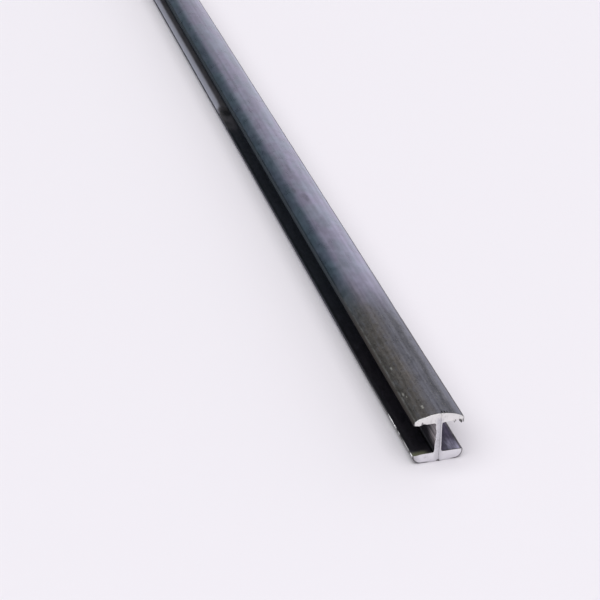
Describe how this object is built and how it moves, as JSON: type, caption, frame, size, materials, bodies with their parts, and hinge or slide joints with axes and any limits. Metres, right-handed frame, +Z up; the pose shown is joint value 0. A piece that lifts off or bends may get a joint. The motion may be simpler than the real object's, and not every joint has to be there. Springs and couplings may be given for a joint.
{
  "type": "lead came",
  "caption": "Straight length of lead came: an H section with a crowned upper flange, a flat-soled lower flange, and an open channel each side for a glass pane.",
  "frame": {"origin": "middle of the length, on the floor under the middle of the sole", "axes": "+X along the length towards the nipped end, +Y across the flanges, +Z up along the heart"},
  "size_m": [0.9144, 0.008, 0.0086],
  "materials": {
    "lead": "dull blue-grey lead drawn lengthwise, with fine die lines, darker tarnish in the channels and bright metal on the cut ends"
  },
  "bodies": {
    "root": {"came": "lead"}
  },
  "joints": []
}
